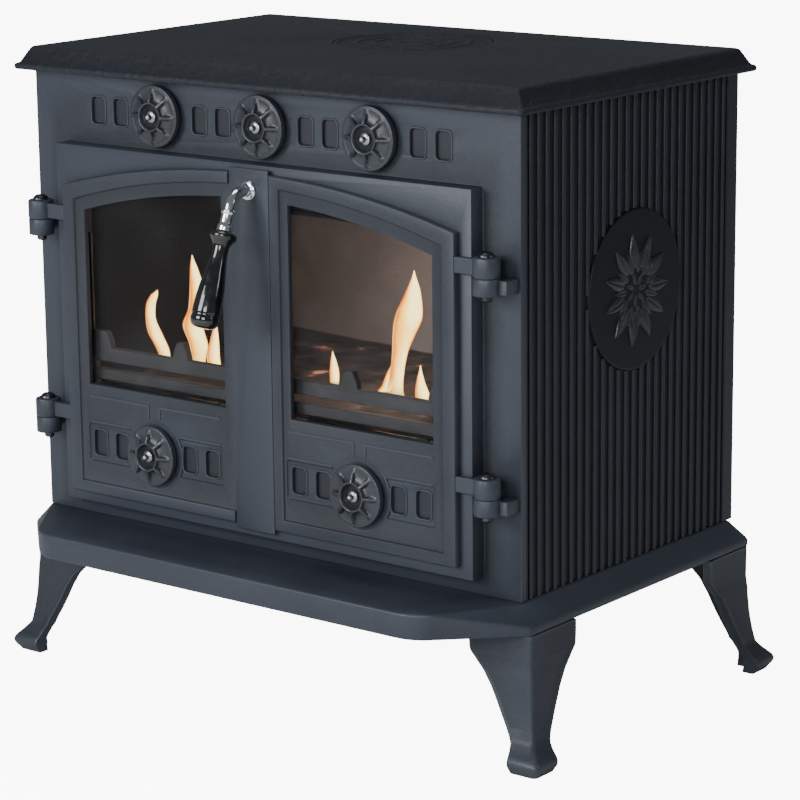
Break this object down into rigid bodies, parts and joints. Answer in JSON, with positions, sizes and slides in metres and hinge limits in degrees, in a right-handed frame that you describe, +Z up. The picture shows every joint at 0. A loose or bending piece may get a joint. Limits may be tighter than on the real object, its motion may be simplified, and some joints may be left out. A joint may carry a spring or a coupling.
{
  "type": "wood burning stove",
  "caption": "Freestanding cast iron wood burning stove with two arched glass doors, screw air wheels, fluted sides, hearth lip and cabriole legs.",
  "frame": {"origin": "on the floor, under the middle of the whole outline", "axes": "+X to the stove's right as seen from the front, -Y towards the front, +Z up"},
  "size_m": [0.686, 0.546, 0.642],
  "materials": {
    "slate_iron": "blue grey satin stove paint on fine sand cast iron",
    "fire_iron": "bare iron blackened by fire",
    "chrome": "polished",
    "black_grip": "gloss black heat resistant moulding",
    "zinc_steel": "zinc plated, slightly dulled",
    "firebrick": "rough fired clay board, sooted",
    "seal_rope": "knitted glass fibre rope",
    "stove_glass": "clear ceramic glass"
  },
  "bodies": {
    "root": {"base_plate": "slate_iron", "front_left_leg": "slate_iron", "front_right_leg": "slate_iron", "rear_left_leg": "slate_iron", "rear_right_leg": "slate_iron", "top_plate": "slate_iron", "flue_blanking_plate": "slate_iron", "front_casting": "slate_iron", "left_side_panel": "slate_iron", "right_side_panel": "slate_iron", "back_panel": "slate_iron", "flue_collar": "slate_iron", "left_hinge_bracket_upper": "slate_iron", "left_hinge_bracket_lower": "slate_iron", "right_hinge_bracket_upper": "slate_iron", "right_hinge_bracket_lower": "slate_iron", "fire_grate": "fire_iron", "fire_fence": "fire_iron", "baffle_plate": "fire_iron", "ash_pan": "fire_iron", "tie_rod_front_left": "zinc_steel", "tie_rod_front_right": "zinc_steel", "tie_rod_rear_left": "zinc_steel", "tie_rod_rear_right": "zinc_steel", "blanking_plate_clamp": "zinc_steel", "collar_screw_left": "zinc_steel", "collar_screw_right": "zinc_steel", "left_hinge_pin_upper": "zinc_steel", "left_hinge_pin_lower": "zinc_steel", "right_hinge_pin_upper": "zinc_steel", "right_hinge_pin_lower": "zinc_steel", "air_wheel_stud_top_left": "zinc_steel", "air_wheel_stud_top_middle": "zinc_steel", "air_wheel_stud_top_right": "zinc_steel", "left_liner": "firebrick", "right_liner": "firebrick", "back_liner": "firebrick"},
    "left_door": {"left_door": "slate_iron", "left_glass": "stove_glass", "left_door_seal": "seal_rope", "left_glass_bar_bottom": "zinc_steel", "left_glass_bar_side": "zinc_steel", "centre_strip": "slate_iron", "handle_rose": "chrome", "air_wheel_stud_left_door": "zinc_steel"},
    "right_door": {"right_door": "slate_iron", "right_glass": "stove_glass", "right_door_seal": "seal_rope", "right_glass_bar_bottom": "zinc_steel", "right_glass_bar_side": "zinc_steel", "air_wheel_stud_right_door": "zinc_steel"},
    "handle": {"handle_spindle": "chrome", "handle_ferrule": "chrome", "handle_grip": "black_grip", "latch_cam": "zinc_steel"},
    "wheel_top_left": {"air_wheel_top_left": "slate_iron"},
    "wheel_top_middle": {"air_wheel_top_middle": "slate_iron"},
    "wheel_top_right": {"air_wheel_top_right": "slate_iron"},
    "wheel_left_door": {"air_wheel_left_door": "slate_iron"},
    "wheel_right_door": {"air_wheel_right_door": "slate_iron"}
  },
  "joints": [
    {"name": "left_door_hinge", "type": "hinge", "parent": "root", "child": "left_door", "pos_m": [-0.282, -0.19, 0.36], "axis": [0, 0, -1], "range_deg": [0, 110]},
    {"name": "right_door_hinge", "type": "hinge", "parent": "root", "child": "right_door", "pos_m": [0.282, -0.19, 0.36], "axis": [0, 0, 1], "range_deg": [0, 110]},
    {"name": "handle_turn", "type": "hinge", "parent": "left_door", "child": "handle", "pos_m": [0, -0.1924, 0.524], "axis": [0, 1, 0], "range_deg": [0, 90]},
    {"name": "wheel_top_left_turn", "type": "hinge", "parent": "root", "child": "wheel_top_left", "pos_m": [-0.135, -0.1725, 0.583], "axis": [0, -1, 0], "range_deg": [0, 810]},
    {"name": "wheel_top_middle_turn", "type": "hinge", "parent": "root", "child": "wheel_top_middle", "pos_m": [0, -0.1725, 0.583], "axis": [0, -1, 0], "range_deg": [0, 810]},
    {"name": "wheel_top_right_turn", "type": "hinge", "parent": "root", "child": "wheel_top_right", "pos_m": [0.135, -0.1725, 0.583], "axis": [0, -1, 0], "range_deg": [0, 810]},
    {"name": "wheel_left_door_turn", "type": "hinge", "parent": "left_door", "child": "wheel_left_door", "pos_m": [-0.132, -0.1945, 0.243], "axis": [0, -1, 0], "range_deg": [0, 810]},
    {"name": "wheel_right_door_turn", "type": "hinge", "parent": "right_door", "child": "wheel_right_door", "pos_m": [0.132, -0.1945, 0.243], "axis": [0, -1, 0], "range_deg": [0, 810]}
  ]
}
